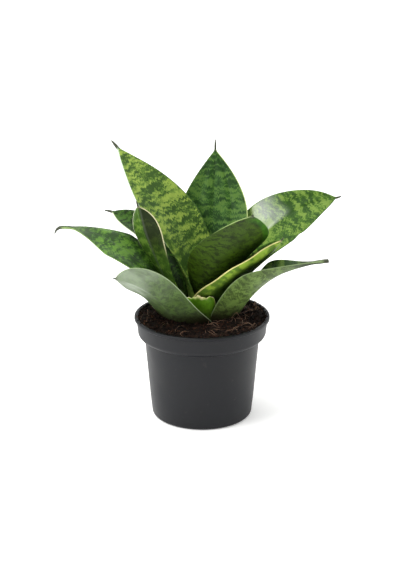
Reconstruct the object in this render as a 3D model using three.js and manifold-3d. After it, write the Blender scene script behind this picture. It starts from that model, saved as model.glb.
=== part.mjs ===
// Potted snake plant: a low, vase-shaped rosette in a round nursery pot. Millimetres, +Z up.
// The origin is the middle of the pot's flat underside, and -Y is the plant's show side.

import * as THREE from 'three';
import Module from 'manifold-3d';
import { mergeVertices } from 'three/addons/utils/BufferGeometryUtils.js';

const wasm = await Module();
wasm.setup();

// Pot
const potHeight = 92;
const rimRadius = 60;          // outside of the lip
const lipHeight = 2.4;         // the lip's plain outer edge
const lipOverhang = 1.8;       // how far the lip stands out past the collar
const collarHeight = 18.6;     // from the top of the lip to the collar's lower edge
const collarTaper = 1.2;       // how much the collar narrows on its way down
const collarRound = 4.5;       // rounding under the collar
const shoulderStep = 5.8;      // from the collar in to the body
const baseRadius = 45;
const baseCorner = 3;
const potWall = 1.5;
const floorThickness = 1.8;
const footRecess = 1.8;        // the underside is hollowed between its middle and its foot ring
const footRingWidth = 6;
const middleFootRadius = 13;
const drainHoles = 8;
const drainRadius = 3.5;

// Soil and crown
const soilDrop = 1.2;          // from the rim down to the soil at the wall
const soilRise = 1.6;          // how much higher the soil stands at the plant
const crownX = -2;             // the rosette grows a little off the pot's axis
const crownY = 6;
const crownDepth = 6.8;        // from the soil at the wall down to where the leaf shapes start
const buriedLength = 10;       // how much further the leaf bases reach straight down
const rhizomeRadius = 15;
const rhizomeLength = 26;

// Leaves
const baseThickness = 3.2;
const bladeThickness = 2.2;
const marginThickness = 0.7;
const spineRadius = 0.7;
const clearance = 0.3;         // kept between pieces that touch

// Fineness
const potSides = 48;
const pathSteps = 40;          // steps along a midrib
const stationStep = 4;         // every fourth step carries a section
const sectionSteps = 6;        // across a leaf

// A leaf starts at its foot, a point beside the crown, and runs out along its midrib.
// Heading turns from +X to +Y, pitch is up from level, and roll lowers the right-hand margin.
// Curl is the cupping of the blade, from midrib to margin. All four are given, in degrees,
// at the base, the middle and the tip. Neck is the width of the base as a share of the width,
// shoulder is where the blade is widest, and fullness and point shape the outline to the tip.
// A spine is the dry point on the tip: its length, and how far it bends up from the blade.
// The leaves are listed from the innermost to the outermost.
const leaves = [
  {
    name: 'leaf_front_right',
    color: 0x2f4a1e,
    foot: [7, -4],
    length: 128,
    width: 68,
    neck: 0.35,
    shoulder: 0.59,
    fullness: 2.4,
    point: 0.8,
    heading: [294, 309, 306],
    pitch: [83, 56, 62],
    roll: [-19, -13, -19],
    curl: [131, 48, 2],
    spine: [2, 0],
  },
  {
    name: 'leaf_tall_left',
    color: 0x6f8f3a,
    foot: [-7, 5],
    length: 173,
    width: 63,
    neck: 0.49,
    shoulder: 0.53,
    fullness: 1.3,
    point: 0.9,
    heading: [158, 153, 146],
    pitch: [97, 60, 41],
    roll: [-2, -16, -18],
    curl: [99, 43, 2],
    spine: [9, 0],
  },
  {
    name: 'leaf_back_centre',
    color: 0x5a7d50,
    foot: [6, 12],
    length: 150,
    width: 65,
    neck: 0.56,
    shoulder: 0.58,
    fullness: 1.7,
    point: 1.0,
    heading: [70, 78, 96],
    pitch: [76, 72, 84],
    roll: [-2, -2, -1],
    curl: [89, 30, 16],
    spine: [9, 0],
  },
  {
    name: 'leaf_upright_left',
    color: 0x3c4f2c,
    foot: [-12, -2],
    length: 117,
    width: 38,
    neck: 0.51,
    shoulder: 0.75,
    fullness: 2.1,
    point: 0.8,
    heading: [207, 193, 184],
    pitch: [68, 67, 76],
    roll: [-2, 18, 54],
    curl: [61, 2, 40],
    spine: [5, 0],
  },
  {
    name: 'leaf_folded_right',
    color: 0x5f8c2c,
    foot: [10, -8],
    length: 108,
    width: 54,
    neck: 0.9,
    shoulder: 0.55,
    fullness: 2.0,
    point: 0.8,
    heading: [330, 339, 344],
    pitch: [88, 43, 58],
    roll: [-24, -2, -2],
    curl: [77, 51, 75],
    spine: [3, 0],
  },
  {
    name: 'leaf_short_left',
    color: 0x4a6b34,
    foot: [-13, 10],
    length: 121,
    width: 39,
    neck: 0.57,
    shoulder: 0.72,
    fullness: 2.1,
    point: 1.0,
    heading: [125, 148, 167],
    pitch: [64, 52, 16],
    roll: [8, 4, -24],
    curl: [39, 43, 9],
    spine: [7, -15],
  },
  {
    name: 'leaf_arching_right',
    color: 0x7d9a52,
    foot: [19, 9],
    length: 164,
    width: 62,
    neck: 0.56,
    shoulder: 0.55,
    fullness: 1.7,
    point: 0.9,
    heading: [4, 13, 33],
    pitch: [80, 45, -4],
    roll: [4, 24, 28],
    curl: [59, 23, 27],
    spine: [6, 20],
  },
  {
    name: 'leaf_long_left',
    color: 0x5d7f33,
    foot: [-19, -3],
    length: 146,
    width: 56,
    neck: 0.58,
    shoulder: 0.61,
    fullness: 1.2,
    point: 1.7,
    heading: [193, 164, 162],
    pitch: [72, 38, -7],
    roll: [15, -1, -13],
    curl: [59, 8, 2],
    spine: [9, -80],
  },
  {
    name: 'torn_sheath',
    color: 0x6da52a,
    foot: [1, -22],
    length: 34,
    width: 30,
    neck: 0.95,
    shoulder: 0.3,
    fullness: 8,
    point: 0.8,
    heading: [265, 265, 264],
    pitch: [78, 74, 72],
    roll: [4, 5, 3],
    curl: [43, 49, 49],
    spine: [1, 0],
  },
  {
    name: 'leaf_low_back_right',
    color: 0x55733c,
    foot: [13, 21],
    length: 104,
    width: 42,
    neck: 0.67,
    shoulder: 0.5,
    fullness: 1.8,
    point: 1.0,
    heading: [68, 60, 50],
    pitch: [58, 38, 10],
    roll: [9, 4, -1],
    curl: [36, 30, 20],
    spine: [6, 0],
  },
  {
    name: 'leaf_low_back_left',
    color: 0x55733c,
    foot: [-11, 24],
    length: 98,
    width: 46,
    neck: 0.7,
    shoulder: 0.5,
    fullness: 1.8,
    point: 1.0,
    heading: [114, 116, 120],
    pitch: [56, 36, 8],
    roll: [0, 0, 0],
    curl: [34, 30, 20],
    spine: [6, 0],
  },
  {
    name: 'leaf_low_right',
    color: 0x66805a,
    foot: [25, -9],
    length: 115,
    width: 57,
    neck: 0.81,
    shoulder: 0.5,
    fullness: 1.4,
    point: 1.6,
    heading: [325, 334, 362],
    pitch: [58, 41, 5],
    roll: [-6, -4, -7],
    curl: [36, 65, 33],
    spine: [4, 0],
  },
  {
    name: 'leaf_broad_front_left',
    color: 0x7d8f74,
    foot: [-15, -20],
    length: 86,
    width: 57,
    neck: 0.99,
    shoulder: 0.56,
    fullness: 2.4,
    point: 0.8,
    heading: [231, 204, 187],
    pitch: [54, 46, 6],
    roll: [11, 26, 55],
    curl: [43, 19, 39],
    spine: [2, 0],
  },
];

const colours = {
  pot: 0x3a3b3e,
  soil: 0x2e1c14,
  rhizome: 0xb98a4e,
};

const soilHeight = potHeight - soilDrop;
const crownHeight = soilHeight - crownDepth;
const radians = THREE.MathUtils.degToRad;
const up = new THREE.Vector3(0, 0, 1);

// A value that runs smoothly through its base, middle and tip values.
function along([base, middle, tip], t) {
  return base * (1 - t) * (1 - 2 * t) + middle * 4 * t * (1 - t) + tip * t * (2 * t - 1);
}

// Half of a leaf's width, as a share of its widest, at t from the foot to the tip.
function outline({ neck, shoulder, fullness, point }, t) {
  if (t < shoulder) return neck + (1 - neck) * Math.sin((Math.PI / 2) * (t / shoulder));
  const past = (t - shoulder) / (1 - shoulder);
  return Math.max(0, 1 - past ** fullness) ** point;
}

// The directions of a leaf at t: along it, across it to the right, and out of its upper face.
function directions(leaf, t) {
  const heading = radians(along(leaf.heading, t));
  const pitch = radians(along(leaf.pitch, t));
  const roll = radians(along(leaf.roll, t));
  const forward = new THREE.Vector3(
    Math.cos(pitch) * Math.cos(heading),
    Math.cos(pitch) * Math.sin(heading),
    Math.sin(pitch),
  );
  const level = new THREE.Vector3(Math.sin(heading), -Math.cos(heading), 0);
  const normal = new THREE.Vector3().crossVectors(level, forward);
  const across = level.clone().applyAxisAngle(forward, roll);
  const face = normal.applyAxisAngle(forward, roll);
  return { forward, across, face };
}

// One closed section of a leaf, a cupped lens, as a ring of points.
function section(leaf, t, middle, halfWidth, thickness, grow) {
  const { across, face } = directions(leaf, t);
  const curl = radians(Math.max(along(leaf.curl, t), 1));
  const half = halfWidth + grow;
  const margin = marginThickness / thickness;
  const ring = [];
  const place = (s, side) => {
    const angle = curl * s;
    const lens = (thickness / 2) * (margin + (1 - margin) * (1 - s * s)) + grow;
    const lift = side * lens;
    const sideways = (half * Math.sin(angle)) / curl - lift * Math.sin(angle);
    const rise = (half * (1 - Math.cos(angle))) / curl + lift * Math.cos(angle);
    ring.push(middle.clone().addScaledVector(across, sideways).addScaledVector(face, rise));
  };
  for (let i = 0; i <= sectionSteps; i++) place(1 - (2 * i) / sectionSteps, 1);
  for (let i = 0; i <= sectionSteps; i++) place(-1 + (2 * i) / sectionSteps, -1);
  return ring;
}

// A closed body through rings of points, with a flat cap at each end.
function loft(rings) {
  const count = rings[0].length;
  const positions = rings.flat().flatMap((p) => [p.x, p.y, p.z]);
  const indices = [];
  for (let r = 0; r < rings.length - 1; r++) {
    for (let i = 0; i < count; i++) {
      const a = r * count + i;
      const b = r * count + ((i + 1) % count);
      indices.push(a, a + count, b, b, a + count, b + count);
    }
  }
  // A cap joins each point of a section's upper side to the one below it.
  const last = (rings.length - 1) * count;
  for (let i = 0; i < count / 2 - 1; i++) {
    const [a, b, c, d] = [i, i + 1, count - 2 - i, count - 1 - i];
    indices.push(a, b, c, a, c, d);
    indices.push(last + c, last + b, last + a, last + d, last + c, last + a);
  }
  const geometry = new THREE.BufferGeometry();
  geometry.setAttribute('position', new THREE.Float32BufferAttribute(positions, 3));
  geometry.setIndex(indices);
  return geometry;
}

// A whole leaf with its buried base and its spine. Grow makes it fatter all over,
// for the space that it needs in a neighbour.
function leafGeometry(leaf, grow = 0) {
  const foot = new THREE.Vector3(crownX + leaf.foot[0], crownY + leaf.foot[1], crownHeight);
  const step = leaf.length / pathSteps;
  const middles = [foot];
  for (let i = 0; i < pathSteps; i++) {
    const here = directions(leaf, i / pathSteps).forward;
    const next = directions(leaf, (i + 1) / pathSteps).forward;
    middles.push(middles[i].clone().addScaledVector(here.add(next), step / 2));
  }
  const rings = [];
  for (let i = 0; i <= pathSteps; i += stationStep) {
    const t = i / pathSteps;
    const halfWidth = Math.max((leaf.width / 2) * outline(leaf, t), spineRadius);
    const body = THREE.MathUtils.lerp(baseThickness, bladeThickness, Math.min(1, 2 * t));
    const thickness = Math.min(body, marginThickness + halfWidth / 2);
    rings.push(section(leaf, t, middles[i], halfWidth, thickness, grow));
  }
  const buried = rings[0].map((p) => p.clone().setZ(p.z - buriedLength - grow));
  rings.unshift(buried);
  const { forward, across, face } = directions(leaf, 1);
  for (const share of [0.5, 1]) {
    const bend = radians(leaf.spine[1]) * share;
    const reach = forward.clone().multiplyScalar(Math.cos(bend / 2));
    reach.addScaledVector(up, Math.sin(bend / 2));
    const end = middles.at(-1).clone().addScaledVector(reach, leaf.spine[0] * share + grow);
    const radius = spineRadius * (1 - 0.6 * share) + grow;
    const angles = rings[1].map((_, i) => ((i + 0.5) / rings[1].length) * 2 * Math.PI);
    rings.push(angles.map((a) => end.clone()
      .addScaledVector(across, radius * Math.cos(a))
      .addScaledVector(face, radius * Math.sin(a))));
  }
  return loft(rings);
}

// A shape turned about the vertical axis from [radius, height] points.
function turned(points) {
  const profile = points.map(([r, z]) => new THREE.Vector2(r, z));
  return new THREE.LatheGeometry(profile, potSides).rotateX(Math.PI / 2);
}

// Points of a rounded corner in a profile, from one angle to another in degrees.
function rounded(r, z, radius, from, to, steps = 4) {
  return Array.from({ length: steps + 1 }, (_, i) => {
    const angle = radians(from + ((to - from) * i) / steps);
    return [r + radius * Math.cos(angle), z + radius * Math.sin(angle)];
  });
}

function solid(geometry) {
  const bare = geometry.clone();
  bare.deleteAttribute('normal');
  bare.deleteAttribute('uv');
  const merged = mergeVertices(bare, 1e-4);
  const vertProperties = new Float32Array(merged.attributes.position.array);
  const triVerts = new Uint32Array(merged.index.array);
  return new wasm.Manifold(new wasm.Mesh({ numProp: 3, vertProperties, triVerts }));
}

function geometryOf(body) {
  const { vertProperties, triVerts } = body.getMesh();
  const geometry = new THREE.BufferGeometry();
  geometry.setAttribute('position', new THREE.BufferAttribute(vertProperties, 3));
  geometry.setIndex(new THREE.BufferAttribute(triVerts, 1));
  return geometry;
}

// The largest of the separate lumps that a cut leaves.
function largest(body) {
  return body.decompose().reduce((best, lump) => (lump.volume() > best.volume() ? lump : best));
}

// The pot's heights and radii that its inside and the soil share.
const collarRadius = rimRadius - lipOverhang;
const collarFoot = potHeight - collarHeight;
const collarLowRadius = collarRadius - collarTaper;
const bodyTopRadius = collarLowRadius - shoulderStep;
const floorTop = footRecess + floorThickness;

// The inside of the pot from its floor to its rim, drawn in by a gap.
function insideProfile(gap, top) {
  const inset = potWall + gap;
  return [
    [baseRadius - inset, floorTop + gap],
    [bodyTopRadius - inset, collarFoot + gap],
    [collarLowRadius - inset, collarFoot + collarRound],
    [collarRadius - inset, top],
  ];
}

function potGeometry() {
  const ringInner = baseRadius - footRingWidth;
  const outside = [
    [0, 0],
    [middleFootRadius, 0],
    [middleFootRadius + footRecess, footRecess],
    [ringInner - footRecess, footRecess],
    [ringInner, 0],
    ...rounded(baseRadius - baseCorner, baseCorner, baseCorner, -90, 0),
    [bodyTopRadius, collarFoot],
    ...rounded(collarLowRadius - collarRound, collarFoot + collarRound, collarRound, -60, 0),
    [collarRadius, potHeight - lipHeight - lipOverhang / 2],
    [rimRadius, potHeight - lipHeight],
    [rimRadius, potHeight - lipHeight / 4],
    [rimRadius - lipHeight / 4, potHeight],
  ];
  const inside = insideProfile(0, potHeight).reverse();
  const body = solid(turned([...outside, ...inside, [0, floorTop]]));
  const drillRadius = (middleFootRadius + ringInner) / 2;
  const drills = Array.from({ length: drainHoles }, (_, i) => {
    const angle = (2 * Math.PI * i) / drainHoles;
    const drill = new THREE.CylinderGeometry(drainRadius, drainRadius, 3 * floorTop, 20);
    drill.rotateX(Math.PI / 2);
    drill.translate(drillRadius * Math.cos(angle), drillRadius * Math.sin(angle), floorTop / 2);
    return solid(drill);
  });
  return geometryOf(drills.reduce((left, drill) => left.subtract(drill), body));
}

// The short underground stem that the leaves grow from.
function rhizomeShape(grow = 0) {
  const top = crownHeight - buriedLength - clearance + grow;
  const low = top - rhizomeLength - 2 * grow;
  const radius = rhizomeRadius + grow;
  const shape = [[0, low], [radius * 0.45, low + radius * 0.2], [radius * 0.75, low + radius * 0.6]];
  shape.push([radius, top - radius * 0.5], [radius, top - radius * 0.15], [radius * 0.9, top], [0, top]);
  return turned(shape).translate(crownX, crownY, 0);
}

// Every leaf gives way to the ones inside it, as a growing leaf's base is pressed flat by them.
const leafBodies = [];
for (const leaf of leaves) {
  const spaces = leafBodies.map((inner) => inner.space);
  const whole = solid(leafGeometry(leaf));
  const body = largest(spaces.reduce((left, space) => left.subtract(space), whole));
  leafBodies.push({ leaf, body, space: solid(leafGeometry(leaf, clearance)) });
}

// A body with room left in it for every leaf.
const roomForLeaves = (body) => leafBodies.reduce((left, { space }) => left.subtract(space), body);

function soilGeometry() {
  const wall = insideProfile(clearance, soilHeight);
  const middle = rimRadius / 2;
  const full = solid(turned([[0, floorTop + clearance], ...wall, [middle, soilHeight + soilRise],
    [0, soilHeight + soilRise]]));
  const rooted = full.subtract(solid(rhizomeShape(clearance)));
  // The crumbs of soil that the leaf bases shut in between them are left out.
  return geometryOf(largest(roomForLeaves(rooted)));
}

function piece(name, geometry, color, roughness) {
  const material = new THREE.MeshStandardMaterial({ color, roughness, metalness: 0 });
  const mesh = new THREE.Mesh(geometry, material);
  mesh.name = name;
  return mesh;
}

const plant = new THREE.Group();
plant.add(piece('pot', potGeometry(), colours.pot, 0.55));
plant.add(piece('potting_soil', soilGeometry(), colours.soil, 0.95));
const rhizome = geometryOf(largest(roomForLeaves(solid(rhizomeShape()))));
plant.add(piece('rhizome', rhizome, colours.rhizome, 0.7));
for (const { leaf, body } of leafBodies) {
  plant.add(piece(leaf.name, geometryOf(body), leaf.color, 0.4));
}

export default plant;
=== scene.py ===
import math
import random
import bpy
import numpy as np
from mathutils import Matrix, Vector, noise


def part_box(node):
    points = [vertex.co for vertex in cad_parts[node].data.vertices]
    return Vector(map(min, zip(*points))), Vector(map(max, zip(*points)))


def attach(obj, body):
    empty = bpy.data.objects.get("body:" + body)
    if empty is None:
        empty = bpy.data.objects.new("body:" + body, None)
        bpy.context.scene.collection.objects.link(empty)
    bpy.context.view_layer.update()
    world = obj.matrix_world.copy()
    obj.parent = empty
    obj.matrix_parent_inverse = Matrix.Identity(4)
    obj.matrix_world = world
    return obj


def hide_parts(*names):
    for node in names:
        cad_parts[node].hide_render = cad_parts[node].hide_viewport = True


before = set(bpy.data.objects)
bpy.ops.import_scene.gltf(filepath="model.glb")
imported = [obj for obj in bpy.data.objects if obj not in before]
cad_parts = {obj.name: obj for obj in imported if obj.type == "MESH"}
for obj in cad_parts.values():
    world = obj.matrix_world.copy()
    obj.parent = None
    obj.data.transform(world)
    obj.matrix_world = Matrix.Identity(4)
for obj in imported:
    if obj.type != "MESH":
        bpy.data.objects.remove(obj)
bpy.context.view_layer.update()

mm = 0.001  # lengths below are in millimetres, and the scene is in metres


def deselect():
    if bpy.context.object and bpy.context.object.mode != "OBJECT":
        bpy.ops.object.mode_set(mode="OBJECT")
    bpy.ops.object.select_all(action="DESELECT")


def activate(piece):
    deselect()
    piece.select_set(True)
    bpy.context.view_layer.objects.active = piece


def applyAll(piece):
    activate(piece)
    for modifier in list(piece.modifiers):
        bpy.ops.object.modifier_apply(modifier=modifier.name)


def finishPiece(piece, nodes, material):
    # bakes its place into the mesh, then hands it to the frame
    activate(piece)
    bpy.ops.object.transform_apply(location=True, rotation=True, scale=True)
    piece.data.materials.clear()
    piece.data.materials.append(material)
    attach(piece, "root")
    if nodes:
        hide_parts(*nodes)


def linear(hexColour):
    # an sRGB hex colour as the linear RGBA that nodes take
    parts = [int(hexColour[i:i + 2], 16) / 255 for i in (1, 3, 5)]
    return [p / 12.92 if p <= 0.04045 else ((p + 0.055) / 1.055) ** 2.4 for p in parts] + [1.0]


def addNode(tree, kind, settings=None, inputs=None, output=0):
    # one node with its settings; an input takes a number, a hex colour or another node's output
    made = tree.nodes.new(kind)
    for name, value in (settings or {}).items():
        setattr(made, name, value)
    for name, value in (inputs or {}).items():
        if isinstance(value, bpy.types.NodeSocket):
            tree.links.new(value, made.inputs[name])
        else:
            made.inputs[name].default_value = linear(value) if isinstance(value, str) else value
    return made.outputs[output] if made.outputs else made


# settings that many nodes share; where inputs go by number, a map range takes its value as 0,
# the range it comes from as 1 and 2 and the one it goes to as 3 and 4, and a colour mix takes
# its share as 0 and its two colours as 6 and 7
product = {"operation": "MULTIPLY"}
total = {"operation": "ADD"}
scaled = {"operation": "MULTIPLY_ADD"}
unsigned = {"operation": "ABSOLUTE"}
smoothStep = {"interpolation_type": "SMOOTHSTEP"}
blend = {"data_type": "RGBA"}
tint = {"data_type": "RGBA", "blend_type": "MULTIPLY"}


def newMaterial(name):
    material = bpy.data.materials.new(name)
    material.use_nodes = True
    tree = material.node_tree
    tree.nodes.clear()
    return material, tree


def finishMaterial(tree, inputs):
    surface = addNode(tree, "ShaderNodeBsdfPrincipled", None, inputs)
    addNode(tree, "ShaderNodeOutputMaterial", None, {"Surface": surface})


def leafMarks(tree, place, size, detail, shift):
    # cloudy marks of one size, across the leaf and along it in millimetres
    wide, long = size
    moved = addNode(tree, "ShaderNodeMapping", None,
                    {"Vector": place, "Scale": (1 / wide, 1 / long, 0),
                     "Location": (shift, shift, shift)})
    return addNode(tree, "ShaderNodeTexNoise", None,
                   {"Vector": moved, "Scale": 1.0, "Detail": detail, "Roughness": 0.52})


cameraView = {
    "lens": 80,
    "sensor": 36,
    "aimX": -1.8,
    "aimZ": 119.6,
    "distance": 1113.9,
    "lookDown": 18.94,         # degrees
    "reach": 50000,            # how far it sees
}

studio = {
    "skyColour": "#ffffff",
    "skyFrom": (0, 0.8, 0.6),  # the room is bright behind and above the plant
    "skyFade": (-0.5, 0.25),
    "skyFront": 0.12,          # and dim in front of it
    "skyBack": 1.1,
    "backdrop": 1.0,           # what the camera sees, plain white from every side
    "sunStrength": 1.7,
    "sunAngle": 55,            # degrees, so broad that it throws no edge
    "sunFrom": (-230, 150, 950),
    "aimHeight": 120,
    "floorColour": "#fbfbfa",
    "floorGlow": 0.2,          # a light table, so shadows on it stay pale
    "floorWidth": 12000,
}

softboxes = {  # place, width and height, power in watts; each faces the plant
    "key": {"place": (-450, -345, 920), "size": (420, 300), "power": 3.6},
    "front left": {"place": (-420, -950, 300), "size": (320, 320), "power": 1.0},
    "left": {"place": (-820, -430, 400), "size": (220, 700), "power": 1.8},
    "right": {"place": (950, 150, 350), "size": (250, 700), "power": 1.2},
}


def makeCamera():
    values = cameraView
    down = math.radians(values["lookDown"])
    data = bpy.data.cameras.new("camera")
    data.lens = values["lens"]
    data.sensor_width = values["sensor"]
    data.clip_end = values["reach"] * mm
    holder = bpy.data.objects.new("camera", data)
    bpy.context.scene.collection.objects.link(holder)
    holder.location = Vector((values["aimX"], -values["distance"] * math.cos(down),
                              values["aimZ"] + values["distance"] * math.sin(down))) * mm
    holder.rotation_euler = (math.radians(90) - down, 0, 0)
    bpy.context.scene.camera = holder


def placeLight(data, place, target):
    holder = bpy.data.objects.new(data.name, data)
    bpy.context.scene.collection.objects.link(holder)
    holder.location = place
    holder.rotation_euler = (target - place).to_track_quat("-Z", "Y").to_euler()


def makeWorld():
    values = studio
    world = bpy.data.worlds.new("studio")
    bpy.context.scene.world = world
    world.use_nodes = True
    tree = world.node_tree
    way = addNode(tree, "ShaderNodeTexCoord", None, None, "Generated")
    back = addNode(tree, "ShaderNodeVectorMath", {"operation": "DOT_PRODUCT"},
                   {0: way, 1: values["skyFrom"]}, "Value")
    fadeFrom, fadeTo = values["skyFade"]
    light = addNode(tree, "ShaderNodeMapRange", smoothStep,
                    {0: back, 1: fadeFrom, 2: fadeTo, 3: values["skyFront"],
                     4: values["skyBack"]})
    seen = addNode(tree, "ShaderNodeLightPath", None, None, "Is Camera Ray")
    strength = addNode(tree, "ShaderNodeMix", {"data_type": "FLOAT"},
                       {0: seen, 2: light, 3: values["backdrop"]})
    background = tree.nodes["Background"]
    background.inputs["Color"].default_value = linear(values["skyColour"])
    tree.links.new(strength, background.inputs["Strength"])


def makeLights():
    target = Vector((0, 0, studio["aimHeight"])) * mm
    for name, box in softboxes.items():
        data = bpy.data.lights.new(name, "AREA")
        data.shape = "RECTANGLE"
        data.size, data.size_y = box["size"][0] * mm, box["size"][1] * mm
        data.energy = box["power"]
        placeLight(data, Vector(box["place"]) * mm, target)
    sun = bpy.data.lights.new("broad sun", "SUN")
    sun.energy = studio["sunStrength"]
    sun.angle = math.radians(studio["sunAngle"])
    placeLight(sun, Vector(studio["sunFrom"]) * mm, target)


def makeFloor():
    deselect()
    bpy.ops.mesh.primitive_plane_add(size=studio["floorWidth"] * mm)
    floor = bpy.context.object
    floor.name = "floor"
    # matt paper, rolled smooth: it takes soft shadows and gives no shine back
    material, tree = newMaterial("pale matt paper")
    finishMaterial(tree, {"Base Color": studio["floorColour"], "Roughness": 0.9,
                          "Emission Color": studio["floorColour"],
                          "Emission Strength": studio["floorGlow"]})
    floor.data.materials.append(material)


makeCamera()
makeWorld()
makeLights()
makeFloor()
bpy.context.scene.view_settings.view_transform = "Standard"
print("camera and studio ready")


crown = {"x": -2, "y": 6, "height": 84}  # where the leaves start, just under the soil

leafBody = {
    "baseThickness": 3.2,
    "bladeThickness": 2.2,
    "marginThickness": 0.7,
    "buried": 10,        # how far the base reaches on down into the soil
    "bladeRows": 86,
    "spineRows": 12,
    "columns": 28,
    "crowding": 0.12,    # how much closer the rows lie at both ends
    "midribSteps": 160,
    "keelRound": 0.003,  # how softly a folded blade turns at its midrib
    "unevenness": 0.25,
}

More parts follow.
